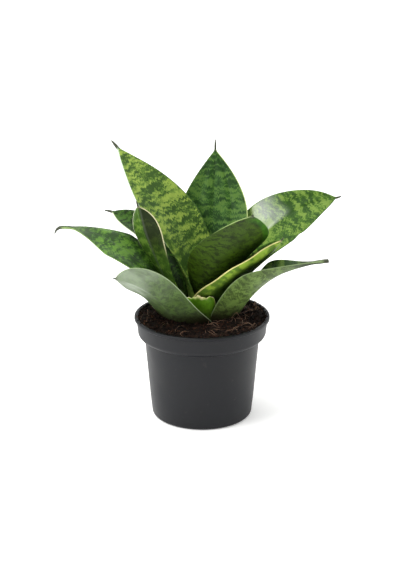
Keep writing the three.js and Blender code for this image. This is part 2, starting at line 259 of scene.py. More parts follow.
# Values in millimetres and degrees. Heading, pitch, roll and curl are given at the base, the
# middle and the tip. A spine has its length, bend and thickness, fold turns the cupped section
# into a V, a crease is a groove along the leaf (place across, depth, width), and a wave is a
# ripple of the margins (height, count). Margins are the colours of the left and right edges,
# which start at edgeFrom.
leafShapes = {
    "leaf_front_right": {
        "foot": (7, -4), "length": 128, "width": 68, "neck": 0.35, "shoulder": 0.59,
        "fullness": 2.4, "point": 0.8, "heading": (294, 309, 306), "pitch": (83, 56, 62),
        "roll": (-19, -13, -19), "curl": (131, 48, 2), "spine": (2, 0, 0.8),
        "fold": 0.0, "creases": [(0, 0.4, 0.08)], "wave": (0.6, 1.5),
        "look": "shaded", "margins": ("#4f7a26", "#94ab68"), "edgeFrom": 112, "seed": 1},
    "leaf_tall_left": {
        "foot": (-7, 5), "length": 173, "width": 63, "neck": 0.49, "shoulder": 0.53,
        "fullness": 1.3, "point": 0.9, "heading": (158, 153, 146), "pitch": (97, 60, 41),
        "roll": (-2, -16, -18), "curl": (99, 43, 2), "spine": (9, 0, 1.5), "taper": 0.75,
        "fold": 0.15, "creases": [(0, 0.6, 0.05)], "wave": (0.7, 2),
        "look": "sunlit", "margins": ("#b9cfae", "#3c5a2a"), "edgeFrom": 80, "seed": 2},
    "leaf_back_centre": {
        "foot": (6, 12), "length": 150, "width": 65, "neck": 0.56, "shoulder": 0.58,
        "fullness": 1.7, "point": 1.0, "heading": (70, 78, 96), "pitch": (76, 72, 84),
        "roll": (-2, -2, -1), "curl": (89, 30, 16), "spine": (9, 0, 0.9),
        "fold": 0.0, "creases": [(-0.04, 1.2, 0.05), (0.5, 1.6, 0.06), (-0.5, 0.8, 0.12)],
        "wave": (0.6, 2),
        "look": "cool", "margins": ("#4d6b34", "#c3d48a"), "seed": 3},
    "leaf_upright_left": {
        "foot": (-12, -2), "length": 117, "width": 38, "neck": 0.51, "shoulder": 0.75,
        "fullness": 2.1, "point": 0.8, "heading": (207, 193, 184), "pitch": (68, 67, 76),
        "roll": (-2, 18, 54), "curl": (61, 2, 40), "spine": (5, 0, 0.9),
        "fold": 0.8, "creases": [(0, 1.6, 0.10)], "wave": (0.5, 2),
        "look": "dusky", "margins": ("#cfcaa0", "#e2e4c4"), "edge": 0.9, "edgeFrom": 78,
        "seed": 4},
    "leaf_folded_right": {
        "foot": (10, -8), "length": 108, "width": 54, "neck": 0.9, "shoulder": 0.55,
        "fullness": 2.0, "point": 0.8, "heading": (330, 339, 344), "pitch": (88, 43, 58),
        "roll": (-24, -2, -2), "curl": (77, 51, 75), "spine": (3, 0, 0.8),
        "fold": 0.3, "creases": [(0.55, 0.7, 0.06)], "wave": (0.6, 3),
        "look": "youngLitAndShaded", "margins": ("#5d7f33", "#ddd68c"), "edge": 1.3, "seed": 5},
    "leaf_short_left": {
        "foot": (-13, 10), "length": 121, "width": 39, "neck": 0.57, "shoulder": 0.72,
        "fullness": 2.1, "point": 1.0, "heading": (125, 148, 167), "pitch": (64, 52, 16),
        "roll": (8, 4, -24), "curl": (39, 43, 9), "spine": (7, -15, 1.3),
        "fold": 0.6, "creases": [], "wave": (0.4, 2),
        "look": "deepShade", "margins": ("#c9d6ac", "#33501c"), "seed": 6},
    "leaf_arching_right": {
        "foot": (19, 9), "length": 164, "width": 62, "neck": 0.56, "shoulder": 0.55,
        "fullness": 1.7, "point": 0.9, "heading": (4, 13, 33), "pitch": (80, 45, -4),
        "roll": (4, 24, 28), "curl": (59, 23, 27), "spine": (6, 20, 1.1),
        "fold": 0.6, "creases": [(0, 0.8, 0.04)], "wave": (0.7, 2.5), "notch": (0.66, 1.6, 0.02),
        "look": "bright", "margins": ("#5f7f3a", "#45622e"), "seed": 7},
    "leaf_long_left": {
        "foot": (-19, -3), "length": 146, "width": 56, "neck": 0.58, "shoulder": 0.61,
        "fullness": 1.2, "point": 1.7, "heading": (193, 164, 162), "pitch": (72, 38, -7),
        "roll": (15, -1, -13), "curl": (59, 8, 2), "spine": (9, -80, 1.9), "taper": 0.8,
        "fold": 0.3, "creases": [(0, 0.8, 0.06)], "wave": (0.8, 2),
        "look": "fresh", "margins": ("#7d9656", "#3d5c26"), "seed": 8},
    "torn_sheath": {
        "piece": "papery_sheath",
        "foot": (1, -22), "length": 34, "width": 30, "neck": 0.95, "shoulder": 0.3,
        "fullness": 8, "point": 0.8, "heading": (265, 265, 264), "pitch": (78, 74, 72),
        "roll": (4, 5, 3), "curl": (43, 49, 49), "spine": (1, 0, 0.4),
        "fold": 0.0, "creases": [], "wave": (0.8, 2), "ragged": 1.3,
        "look": "sheath", "margins": ("#e9e4b4", "#e9e4b4"), "seed": 9},
    "leaf_low_back_right": {
        "foot": (13, 21), "length": 104, "width": 42, "neck": 0.67, "shoulder": 0.5,
        "fullness": 1.8, "point": 1.0, "heading": (68, 60, 50), "pitch": (58, 38, 10),
        "roll": (9, 4, -1), "curl": (36, 30, 20), "spine": (6, 0, 1.0),
        "fold": 0.3, "creases": [(0, 0.5, 0.06)], "wave": (0.7, 2),
        "look": "outer", "margins": ("#a9b98c", "#a9b98c"), "seed": 10},
    "leaf_low_back_left": {
        "foot": (-11, 24), "length": 98, "width": 46, "neck": 0.7, "shoulder": 0.5,
        "fullness": 1.8, "point": 1.0, "heading": (114, 116, 120), "pitch": (56, 36, 8),
        "roll": (0, 0, 0), "curl": (34, 30, 20), "spine": (6, 0, 1.0),
        "fold": 0.3, "creases": [(0, 0.5, 0.06)], "wave": (0.7, 2),
        "look": "outer", "margins": ("#a9b98c", "#a9b98c"), "seed": 11},
    "leaf_low_right": {
        "foot": (25, -9), "length": 115, "width": 57, "neck": 0.81, "shoulder": 0.5,
        "fullness": 1.4, "point": 1.6, "heading": (325, 334, 362), "pitch": (58, 41, 5),
        "roll": (-6, -4, -7), "curl": (36, 65, 33), "spine": (4, 0, 2.5), "taper": 0.15,
        "fold": 0.2, "creases": [(0.3, 0.5, 0.08)], "wave": (0.5, 2),
        "look": "outer", "margins": ("#667a4c", "#75885c"), "seed": 12},
    "leaf_broad_front_left": {
        "foot": (-15, -20), "length": 86, "width": 57, "neck": 0.99, "shoulder": 0.56,
        "fullness": 2.4, "point": 0.8, "heading": (231, 204, 187), "pitch": (54, 46, 6),
        "roll": (11, 26, 55), "curl": (43, 19, 39), "spine": (2, 0, 0.7),
        "fold": 0.9, "creases": [(0, 1.0, 0.10)], "wave": (0.6, 1.5),
        "look": "glaucous", "margins": ("#8fa07a", "#94a680"), "seed": 13},
}


def along(three, t):
    # a value that runs smoothly through its base, middle and tip values
    base, middle, tip = three
    return base * (1 - t) * (1 - 2 * t) + middle * 4 * t * (1 - t) + tip * t * (2 * t - 1)


def outline(shape, t):
    # half the width at t, as a share of the widest
    shoulder = shape["shoulder"]
    rising = shape["neck"] + (1 - shape["neck"]) * np.sin(np.pi / 2 * np.minimum(t / shoulder, 1))
    past = np.clip((t - shoulder) / (1 - shoulder), 0, 1)
    falling = np.maximum(0, 1 - past ** shape["fullness"]) ** shape["point"]
    return np.where(t < shoulder, rising, falling)


def directions(shape, t):
    # along the leaf, across it to the right, and out of its upper face, for every t
    heading, pitch, roll = (np.radians(along(shape[k], t)) for k in ("heading", "pitch", "roll"))
    forward = np.stack([np.cos(pitch) * np.cos(heading), np.cos(pitch) * np.sin(heading),
                        np.sin(pitch)], -1)
    level = np.stack([np.sin(heading), -np.cos(heading), 0 * heading], -1)
    normal = np.cross(level, forward)
    turnC, turnS = np.cos(roll)[..., None], np.sin(roll)[..., None]
    return forward, level * turnC - normal * turnS, normal * turnC + level * turnS


def midrib(shape, t):
    # the leaf's middle line, added up from its directions
    count = leafBody["midribSteps"]
    steps = np.linspace(0, 1, count + 1)
    forward = directions(shape, steps)[0]
    pieces = (forward[1:] + forward[:-1]) / 2 * shape["length"] / count
    line = np.vstack([[0, 0, 0], np.cumsum(pieces, 0)])
    line += [crown["x"] + shape["foot"][0], crown["y"] + shape["foot"][1], crown["height"]]
    return np.stack([np.interp(t, steps, line[:, i]) for i in range(3)], -1)


def bladeSection(shape, s, t, halfWidth):
    # how far a point of the blade lies sideways from the midrib, and how high above it; s runs
    # from -1 at the left margin to 1 at the right one
    curl = np.radians(np.maximum(along(shape["curl"], t), 1))
    cupSide = halfWidth * np.sin(curl * s) / curl
    cupRise = halfWidth * (1 - np.cos(curl * s)) / curl
    chord = halfWidth * np.sin(curl / 2) / (curl / 2)
    keel = leafBody["keelRound"]
    soft = np.sqrt(s * s + keel) - math.sqrt(keel)
    foldSide = chord * s * np.cos(curl / 2)
    foldRise = chord * soft * np.sin(curl / 2)
    fold = shape["fold"] * np.clip(t * 3, 0, 1)
    side = cupSide + (foldSide - cupSide) * fold
    rise = cupRise + (foldRise - cupRise) * fold
    # the base and the tip stay plain
    fade = np.clip(t * 2.5, 0, 1) * np.clip((1 - t) * 6, 0, 1)
    for place, depth, width in shape["creases"]:
        rise = rise - depth * fade * np.exp(-((s - place) / width) ** 2)
    height, count = shape["wave"]
    turn = 2 * np.pi * count * t + shape["seed"] * 1.7
    rise = rise + height * fade * np.abs(s) ** 3 * np.sin(turn + np.sign(s) * 0.8)
    rise = rise + leafBody["unevenness"] * fade * np.sin(s * 9 + shape["seed"] + 2 * t)
    return side, rise


def thinning(shape, spineShare):
    # how the spine narrows to its end
    return 1 - shape.get("taper", 0.6) * spineShare ** 2


def growLeaf(shape, s, row):
    # where each point of the leaf's middle surface lies; row 0 is the buried end, then comes the
    # blade, where t runs from 0 to 1, and then the spine on the tip
    values = leafBody
    blade = np.clip((row - 1) / values["bladeRows"], 0, 1)
    t = blade - values["crowding"] * np.sin(2 * np.pi * blade) / (2 * np.pi)
    spineShare = np.clip((row - 1 - values["bladeRows"]) / (values["spineRows"] + 1), 0, 1)
    halfWidth = shape["width"] / 2 * outline(shape, t)
    notchPlace, notchDepth, notchWidth = shape.get("notch", (0, 0, 1))
    bite = notchDepth * np.exp(-((t - notchPlace) / notchWidth) ** 2)
    halfWidth = halfWidth - bite * np.clip(s * 4 - 3, 0, 1)
    spineLength, spineBend, spineRadius = shape["spine"]
    halfWidth = np.maximum(halfWidth, spineRadius * thinning(shape, spineShare))
    forward, across, face = directions(shape, t)
    side, rise = bladeSection(shape, s, t, halfWidth)
    bend = math.radians(spineBend) * spineShare
    reach = forward * np.cos(bend / 2)[:, None]
    reach[:, 2] += np.sin(bend / 2)
    spread = 2 * s * halfWidth / shape["width"]
    torn = np.sin(7 * spread + 1) + 0.6 * np.sin(19 * spread)
    torn = shape.get("ragged", 0) * torn * np.clip(4 * t - 3, 0, 1)
    middle = midrib(shape, t) + reach * (spineLength * spineShare + torn)[:, None]
    middle[:, 2] -= values["buried"] * (row < 0.5)
    place = middle + across * side[:, None] + face * rise[:, None]
    return t, spineShare, halfWidth, place, face


def leafThickness(shape, s, t, spineShare, halfWidth):
    # full along the middle, thin at the margins, and round again in the spine
    values = leafBody
    base, blade = values["baseThickness"], values["bladeThickness"]
    body = base + (blade - base) * np.minimum(1, 2 * t)
    thickness = np.minimum(body, values["marginThickness"] + halfWidth * 0.7)
    margin = values["marginThickness"] / thickness
    thickness = thickness * (margin + (1 - margin) * (1 - s * s))
    rolled = np.clip(5 * t - 4, 0, 1) * thinning(shape, spineShare)
    return np.maximum(thickness, 1.6 * shape["spine"][2] * rolled * (1 - 0.6 * s * s))


def readPoints(mesh):
    points = np.empty(len(mesh.vertices) * 3)
    mesh.vertices.foreach_get("co", points)
    return points.reshape(-1, 3)


def addChart(mesh, name, kind, numbers):
    # a number or a place for every point, which the material reads
    chart = mesh.attributes.new(name, kind, "POINT")
    field = "vector" if kind == "FLOAT_VECTOR" else "value"
    chart.data.foreach_set(field, numbers.astype(np.float32).ravel())


def makeLeaf(name, shape, material):
    values = leafBody
    rows = values["bladeRows"] + values["spineRows"] + 2
    deselect()
    bpy.ops.mesh.primitive_grid_add(x_subdivisions=values["columns"], y_subdivisions=rows, size=2)
    leaf = bpy.context.object
    leaf.name = shape.get("piece", name.replace("leaf", "blade"))
    flat = readPoints(leaf.data)
    s, row = flat[:, 0], (flat[:, 1] + 1) / 2 * rows
    t, spineShare, halfWidth, place, face = growLeaf(shape, s, row)
    leaf.data.vertices.foreach_set("co", (place * mm).ravel())

    most = values["baseThickness"]
    group = leaf.vertex_groups.new(name="thickness")
    for i, share in enumerate(leafThickness(shape, s, t, spineShare, halfWidth) / most):
        group.add([i], float(min(1, share)), "REPLACE")

    # across, along and in from the margin, in millimetres
    length = shape["length"]
    fromEdge = np.minimum((1 - np.abs(s)) * halfWidth, (1 - t) * length)
    addChart(leaf.data, "leafPlace", "FLOAT_VECTOR",
             np.stack([s * halfWidth, t * length + spineShare * shape["spine"][0], fromEdge], -1))
    # how far below the tip it is, and then 0 to 10 along the spine
    addChart(leaf.data, "leafEnd", "FLOAT", (t - 1) * length + spineShare * 10)

    wall = leaf.modifiers.new("wall", "SOLIDIFY")
    wall.thickness = most * mm
    wall.offset = 0
    wall.vertex_group = "thickness"
    wall.use_even_offset = True
    applyAll(leaf)
    solid = readPoints(leaf.data)[:2 * len(place)] / mm
    above = ((solid - np.vstack([place, place])) * np.vstack([face, face])).sum(1)
    addChart(leaf.data, "under", "FLOAT", above < 0)

    smooth = leaf.modifiers.new("smooth", "SUBSURF")
    smooth.levels = smooth.render_levels = 1
    applyAll(leaf)
    activate(leaf)
    bpy.ops.object.shade_smooth()
    finishPiece(leaf, [name], material)


# Living leaf: a waxy skin over wet tissue, so colour is patchy below and the gloss is soft on top.
# Share is how much of the upper face is light, lines and bloom are how strong those are below, and
# foot and tip are how pale or faded the ends are. Half, band and polish are for single leaves: half
# is painted shade on one half, keel a painted sheen along the fold, and band partly painted light.
leafLooks = {
    "sunlit": {"dark": "#344f1d", "mid": "#5b7a2f", "light": "#889f43", "share": 0.49,
               "underDark": "#46632a", "underLight": "#708d42", "lines": 0.6, "bloom": 0.1,
               "patchy": 0.5, "foot": 0.6, "roughness": 0.42},
    "bright": {"dark": "#2b4817", "mid": "#456722", "light": "#6b8638", "share": 0.47,
               "underDark": "#33471a", "underLight": "#55702f", "lines": 0.6, "bloom": 0.1,
               "foot": 0.2, "roughness": 0.42, "specular": 0.08, "polish": 1.0,
               "polishFrom": 88, "polishTo": 115},
    "cool": {"dark": "#26441c", "mid": "#3c6129", "light": "#587b35", "share": 0.44,
             "underDark": "#33471a", "underLight": "#55702f", "lines": 0.6, "bloom": 0.1,
             "foot": 0.2, "roughness": 0.36},
    # a darker copy of the leaf colours: painted shade for a leaf that stands in shadow
    "deepShade": {"dark": "#152b05", "mid": "#22400c", "light": "#3c601a", "share": 0.44,
             "underDark": "#2c4414", "underLight": "#44622a", "lines": 0.5, "bloom": 0.1,
             "foot": 0.3, "roughness": 0.42, "specular": 0.14},
    "fresh": {"dark": "#22400c", "mid": "#34591a", "light": "#588029", "share": 0.44,
              "underDark": "#3c5a1c", "underLight": "#5f8338", "lines": 0.5, "bloom": 0.1,
              "foot": 0.4, "roughness": 0.40, "tip": 0.7},
    # half is painted shade on one half of the leaf, keel a painted grey sheen along its fold
    "dusky": {"dark": "#2b4418", "mid": "#405f22", "light": "#6f8c3a", "share": 0.4,
              "underDark": "#36531a", "underLight": "#567a2a", "lines": 0.3, "bloom": 0.0,
              "patchy": 0.6, "foot": 0.2, "roughness": 0.42, "specular": 0.1, "half": "#14150a",
              "keel": "#4c5545"},
    # its darker lower-face colours are painted shade, and its bright band inside the margin is
    # partly painted light
    "youngLitAndShaded": {"dark": "#33501c", "mid": "#4f7629", "light": "#86a545", "share": 0.4,
              "underDark": "#212f0d", "underLight": "#3b5518", "lines": 0.45, "bloom": 0.0,
              "foot": 0.15, "roughness": 0.42, "band": "#93b43e",
              "bandDark": "#5a7a2b", "bandWidth": 11.0},
    "sheath": {"dark": "#3f6a10", "mid": "#527f18", "light": "#79a02e", "share": 0.4,
               "underDark": "#436c10", "underLight": "#5a8819", "lines": 0.4, "bloom": 0.0,
               "foot": 0.0, "roughness": 0.45, "band": "#8fae3c", "bandDark": "#79a02e",
               "bandWidth": 2.0, "dry": "#d9cf98"},
    "shaded": {"dark": "#2c451c", "mid": "#43622a", "light": "#7a9544", "share": 0.45,
               "underDark": "#1b2807", "underLight": "#3c5511", "lines": 0.85, "bloom": 0.0,
               "foot": 0.0, "roughness": 0.5, "band": "#3a6c10", "bandDark": "#2c5410",
               "bandWidth": 8.0, "bandSide": -1},
    "outer": {"dark": "#2c4720", "mid": "#40602b", "light": "#6b8640", "share": 0.42,
              "underDark": "#2e3d12", "underLight": "#66803a", "lines": 0.85, "bloom": 0.14,
              "foot": 0.0, "roughness": 0.5, "tip": 0.92, "tipColour": "#242c1d"},
    "glaucous": {"dark": "#2c4720", "mid": "#40602b", "light": "#6b8640", "share": 0.42,
                 "underDark": "#293911", "underLight": "#486225", "lines": 0.95, "bloom": 0.29,
                 "foot": 0.0, "roughness": 0.46},
}

leafPattern = {  # sizes in millimetres, across the leaf and along it
    "patch": (12, 2.7),        # the light and dark patches of the upper face
    "band": (50, 11),          # the broad bands that they gather in
    "vein": (0.7, 12.5),       # finer on a real leaf, and drawn this coarse to show
    "sway": (4, 50 / 3),       # how the patch edges drift from vein to vein
    "speckle": (2 / 3, 5 / 3),
    "line": (16, 3.6),         # the thin dark lines of the lower face
    "gap": (5, 10 / 3),        # where those lines break off
    "mottle": (9, 5),
    "bloomCloud": (24, 30),
    "dullCloud": (12, 25),
    "spatter": (2, 10 / 3),    # soil stain and painted shade on the foot
    "nick": (10 / 3, 25 / 3),
    "fringe": 2.0,             # how far the patch edges run out along the veins
    "marginWidth": 0.7,
    "specular": 0.2,
    "bloomColour": "#a3b09a",
    "footColour": "#86a63a",
    "dryColour": "#3f4434",
    "tipColour": "#465040",
    # dark brown of the foot near the soil: soil stain and painted shade
    "soilStainAndShade": "#221a0f",
}


def patchField(tree, place, shift):
    # how light the upper face is: patches and broad bands whose edges fray along the veins
    pattern = leafPattern
    parts = addNode(tree, "ShaderNodeSeparateXYZ", None, {0: place}).node.outputs
    vein = leafMarks(tree, place, pattern["vein"], 2.0, shift)
    sway = leafMarks(tree, place, pattern["sway"], 1.0, shift + 7)
    slip, drift = 3 * pattern["fringe"], 4 * pattern["fringe"]
    slid = addNode(tree, "ShaderNodeMath", scaled, {0: vein, 1: slip, 2: -slip / 2})
    drifted = addNode(tree, "ShaderNodeMath", scaled, {0: sway, 1: drift, 2: -drift / 2})
    moved = addNode(tree, "ShaderNodeMath", total, {0: slid, 1: drifted})
    length = addNode(tree, "ShaderNodeMath", total, {0: parts[1], 1: moved})
    frayed = addNode(tree, "ShaderNodeCombineXYZ", None, {0: parts[0], 1: length})
    patches = leafMarks(tree, frayed, pattern["patch"], 4.0, shift + 11)
    bands = leafMarks(tree, frayed, pattern["band"], 1.0, shift + 23)
    speckle = leafMarks(tree, place, pattern["speckle"], 2.0, shift + 3)
    lean = addNode(tree, "ShaderNodeMath", scaled, {0: bands, 1: 0.5, 2: -0.25})
    grain = addNode(tree, "ShaderNodeMath", scaled, {0: speckle, 1: 0.3, 2: -0.15})
    extra = addNode(tree, "ShaderNodeMath", total, {0: lean, 1: grain})
    strength = addNode(tree, "ShaderNodeMath", total, {0: patches, 1: extra})
    return strength, frayed, vein


def lowerFace(tree, shape, values, place, frayed, parts, shift):
    # plainer and duller than the upper face, with thin wavy lines across and a grey bloom
    pattern = leafPattern
    # a line runs wherever the marks pass their middle value
    wavy = leafMarks(tree, frayed, pattern["line"], 1.5, shift + 41)
    centred = addNode(tree, "ShaderNodeMath", total, {0: wavy, 1: -0.5})
    off = addNode(tree, "ShaderNodeMath", unsigned, {0: centred})
    broken = leafMarks(tree, place, pattern["gap"], 2.0, shift + 43)
    thin = addNode(tree, "ShaderNodeMapRange", smoothStep,
                   {0: off, 1: 0.03, 2: 0.10, 3: values["lines"], 4: 0.0})
    kept = addNode(tree, "ShaderNodeMapRange", smoothStep, {0: broken, 1: 0.34, 2: 0.50})
    line = addNode(tree, "ShaderNodeMath", product, {0: thin, 1: kept})
    mottle = leafMarks(tree, frayed, pattern["mottle"], 4.0, shift + 47)
    darker = addNode(tree, "ShaderNodeMapRange", smoothStep,
                     {0: mottle, 1: 0.35, 2: 0.65, 3: 0.45, 4: 0.0})
    colour = addNode(tree, "ShaderNodeMix", blend,
                     {0: darker, 6: values["underLight"], 7: values["underDark"]}, 2)
    colour = addNode(tree, "ShaderNodeMix", blend, {0: line, 6: colour, 7: values["underDark"]}, 2)
    if "band" in values:
        # a greener band inside the margin, on one side or both, partly the leaf's own colour and
        # partly painted light where that edge is lit or lets light through
        wide, only = values["bandWidth"], values.get("bandSide", 0)
        near = addNode(tree, "ShaderNodeMapRange", smoothStep,
                       {0: parts[2], 1: wide * 0.55, 2: wide * 1.1, 3: 0.9, 4: 0.0})
        sided = addNode(tree, "ShaderNodeMapRange", smoothStep,
                        {0: parts[0], 1: -8.0, 2: 8.0, 3: min(1, 1 - only), 4: min(1, 1 + only)})
        share = addNode(tree, "ShaderNodeMath", product, {0: near, 1: sided})
        blotch = addNode(tree, "ShaderNodeMapRange", smoothStep, {0: mottle, 1: 0.4, 2: 0.6})
        green = addNode(tree, "ShaderNodeMix", blend,
                        {0: blotch, 6: values["bandDark"], 7: values["band"]}, 2)
        colour = addNode(tree, "ShaderNodeMix", blend, {0: share, 6: colour, 7: green}, 2)
    # the bloom is cloudy, and thickest towards the tip
    cloud = leafMarks(tree, place, pattern["bloomCloud"], 3.0, shift + 5)
    uneven = addNode(tree, "ShaderNodeMapRange", smoothStep,
                     {0: cloud, 1: 0.35, 2: 0.65, 3: 0.4, 4: 1.4})
    outward = addNode(tree, "ShaderNodeMapRange", smoothStep,
                      {0: parts[1], 1: 0.3 * shape["length"], 2: shape["length"],
                       3: 0.2 * values["bloom"], 4: 1.6 * values["bloom"]})
    bloom = addNode(tree, "ShaderNodeMath", product, {0: uneven, 1: outward})
    return addNode(tree, "ShaderNodeMix", blend,
                   {0: bloom, 6: colour, 7: pattern["bloomColour"]}, 2)


def shadedHalf(tree, colour, across, length, values):
    # painted shade: one half, turned from the light, is darkened to brown-black, and a painted grey
    # sheen runs along the keel between, both from some way up the leaf
    left = addNode(tree, "ShaderNodeMapRange", smoothStep,
                   {0: across, 1: 0.5, 2: -1.5, 3: 0.0, 4: 0.85})
    upper = addNode(tree, "ShaderNodeMapRange", smoothStep, {0: length, 1: 58, 2: 90})
    side = addNode(tree, "ShaderNodeMath", product, {0: left, 1: upper})
    colour = addNode(tree, "ShaderNodeMix", blend, {0: side, 6: colour, 7: values["half"]}, 2)
    offset = addNode(tree, "ShaderNodeMath", total, {0: across, 1: 1.5})
    near = addNode(tree, "ShaderNodeMath", unsigned, {0: offset})
    narrow = addNode(tree, "ShaderNodeMapRange", smoothStep,
                     {0: near, 1: 0.2, 2: 1.2, 3: 0.5, 4: 0.0})
    rising = addNode(tree, "ShaderNodeMapRange", smoothStep, {0: length, 1: 20, 2: 60})
    keelSheen = addNode(tree, "ShaderNodeMath", product, {0: narrow, 1: rising})
    return addNode(tree, "ShaderNodeMix", blend, {0: keelSheen, 6: colour, 7: values["keel"]}, 2)


def footAndTip(tree, colour, place, length, end, values, shift):
    # the foot is pale where light never reached and darker near the soil, partly soil stain and
    # partly painted shade, and some tips have faded
    pattern = leafPattern
    if values["foot"]:
        foot = addNode(tree, "ShaderNodeMapRange", smoothStep,
                       {0: length, 1: 8, 2: 34, 3: values["foot"], 4: 0.0})
        colour = addNode(tree, "ShaderNodeMix", blend,
                         {0: foot, 6: colour, 7: pattern["footColour"]}, 2)
    # partly soil stain, partly painted shade: the foot darkens towards the soil
    spatter = leafMarks(tree, place, pattern["spatter"], 3.0, shift + 61)
    reach = addNode(tree, "ShaderNodeMath", scaled, {0: spatter, 1: 14, 2: length})
    stainAndShade = addNode(tree, "ShaderNodeMapRange", smoothStep,
                    {0: reach, 1: 15, 2: 34, 3: 0.85, 4: 0.0})
    colour = addNode(tree, "ShaderNodeMix", blend,
                     {0: stainAndShade, 6: colour, 7: pattern["soilStainAndShade"]}, 2)
    if "tip" in values:
        fading = addNode(tree, "ShaderNodeMapRange", smoothStep,
                         {0: end, 1: -40, 2: -8, 3: 0.0, 4: values["tip"]})
        faded = values.get("tipColour", pattern["tipColour"])
        colour = addNode(tree, "ShaderNodeMix", blend, {0: fading, 6: colour, 7: faded}, 2)
    return colour


def marginAndSpine(tree, colour, place, parts, end, shape, values, shift):
    # a thin edge of another colour on each side, and a dry spine
    pattern = leafPattern
    nick = leafMarks(tree, place, pattern["nick"], 2.0, shift + 31)
    rim = addNode(tree, "ShaderNodeMath", scaled, {0: nick, 1: 0.6, 2: parts[2]})
    wide = shape.get("edge", pattern["marginWidth"])
    left, right = shape["margins"]
    side = addNode(tree, "ShaderNodeMapRange", smoothStep, {0: parts[0], 1: -0.5, 2: 0.5})
    edgeColour = addNode(tree, "ShaderNodeMix", blend, {0: side, 6: left, 7: right}, 2)
    edge = addNode(tree, "ShaderNodeMapRange", smoothStep,
                   {0: rim, 1: wide, 2: wide + 0.45, 3: 0.9, 4: 0.0})
    start = shape.get("edgeFrom", 0)
    grown = addNode(tree, "ShaderNodeMapRange", smoothStep,
                    {0: parts[1], 1: start - 12, 2: start + 8})
    share = addNode(tree, "ShaderNodeMath", product, {0: edge, 1: grown})
    colour = addNode(tree, "ShaderNodeMix", blend, {0: share, 6: colour, 7: edgeColour}, 2)
    dryness = addNode(tree, "ShaderNodeMapRange", smoothStep, {0: end, 1: -3.0, 2: 1.0})
    dry = values.get("dry", pattern["dryColour"])
    return addNode(tree, "ShaderNodeMix", blend, {0: dryness, 6: colour, 7: dry}, 2)


def rubbedPatch(tree, parts, values):
    # where the bloom is rubbed off one half of the blade, the bare wax shines
    half = addNode(tree, "ShaderNodeMapRange", smoothStep,
                   {0: parts[0], 1: 1.0, 2: -3.0, 3: 0.0, 4: values["polish"]})
    start = addNode(tree, "ShaderNodeMapRange", smoothStep,
                    {0: parts[1], 1: values["polishFrom"] - 4, 2: values["polishFrom"] + 4})
    stop = addNode(tree, "ShaderNodeMapRange", smoothStep,
                   {0: parts[1], 1: values["polishTo"] + 5, 2: values["polishTo"] - 7})
    length = addNode(tree, "ShaderNodeMath", product, {0: start, 1: stop})
    return addNode(tree, "ShaderNodeMath", product, {0: half, 1: length})


def leafSkin(shape):
    values, pattern = leafLooks[shape["look"]], leafPattern
    material, tree = newMaterial("waxy leaf skin " + str(shape["seed"]))
    place = addNode(tree, "ShaderNodeAttribute", {"attribute_name": "leafPlace"}, None, "Vector")
    under = addNode(tree, "ShaderNodeAttribute", {"attribute_name": "under"}, None, "Fac")
    end = addNode(tree, "ShaderNodeAttribute", {"attribute_name": "leafEnd"}, None, "Fac")
    parts = addNode(tree, "ShaderNodeSeparateXYZ", None, {0: place}).node.outputs
    shift = shape["seed"] * 3.7

    strength, frayed, vein = patchField(tree, place, shift)
    level = 0.5 + (0.5 - values["share"]) * 0.5
    middling = addNode(tree, "ShaderNodeMapRange", smoothStep,
                       {0: strength, 1: level - 0.08, 2: level - 0.03})
    palest = addNode(tree, "ShaderNodeMapRange", smoothStep,
                     {0: strength, 1: level, 2: level + 0.045})
    top = addNode(tree, "ShaderNodeMix", blend,
                  {0: middling, 6: values["dark"], 7: values["mid"]}, 2)
    top = addNode(tree, "ShaderNodeMix", blend, {0: palest, 6: top, 7: values["light"]}, 2)
    below = lowerFace(tree, shape, values, place, frayed, parts, shift)
    if "patchy" in values:
        below = addNode(tree, "ShaderNodeMix", blend, {0: values["patchy"], 6: below, 7: top}, 2)
    colour = addNode(tree, "ShaderNodeMix", blend, {0: under, 6: top, 7: below}, 2)
    # painted shade on one half and a painted sheen along its keel
    if "half" in values:
        colour = shadedHalf(tree, colour, parts[0], parts[1], values)

    # the veins are fine streaks along the leaf, fainter on the lower face
    streak = addNode(tree, "ShaderNodeMapRange", smoothStep,
                     {0: vein, 1: 0.3, 2: 0.7, 3: 0.87, 4: 1.10})
    grey = addNode(tree, "ShaderNodeCombineColor", None, {0: streak, 1: streak, 2: streak})
    share = addNode(tree, "ShaderNodeMapRange", None, {0: under, 3: 1.0, 4: 0.35})
    colour = addNode(tree, "ShaderNodeMix", tint, {0: share, 6: colour, 7: grey}, 2)
    colour = footAndTip(tree, colour, place, parts[1], end, values, shift)
    colour = marginAndSpine(tree, colour, place, parts, end, shape, values, shift)

    height = addNode(tree, "ShaderNodeMath", scaled, {0: strength, 1: 0.25, 2: vein})
    bump = addNode(tree, "ShaderNodeBump", None,
                   {"Strength": 0.3, "Distance": 0.3 * mm, "Height": height})
    dull = leafMarks(tree, place, pattern["dullCloud"], 3.0, shift + 9)
    shine = rubbedPatch(tree, parts, values) if "polish" in values else 0.0
    low, high = values["roughness"] - 0.06, values["roughness"] + 0.1
    roughness = addNode(tree, "ShaderNodeMapRange", smoothStep,
                        {0: dull, 1: 0.3, 2: 0.7, 3: low, 4: high})
    finishMaterial(tree, {"Base Color": colour, "Roughness": roughness, "Normal": bump, "IOR": 1.45,
                          "Specular IOR Level": values.get("specular", pattern["specular"]),
                          "Coat Roughness": 0.3, "Coat IOR": 1.7, "Coat Weight": shine})
    return material


for leafName, leafShape in leafShapes.items():
    makeLeaf(leafName, leafShape, leafSkin(leafShape))
print("leaves grown")


potLow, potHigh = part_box("pot")

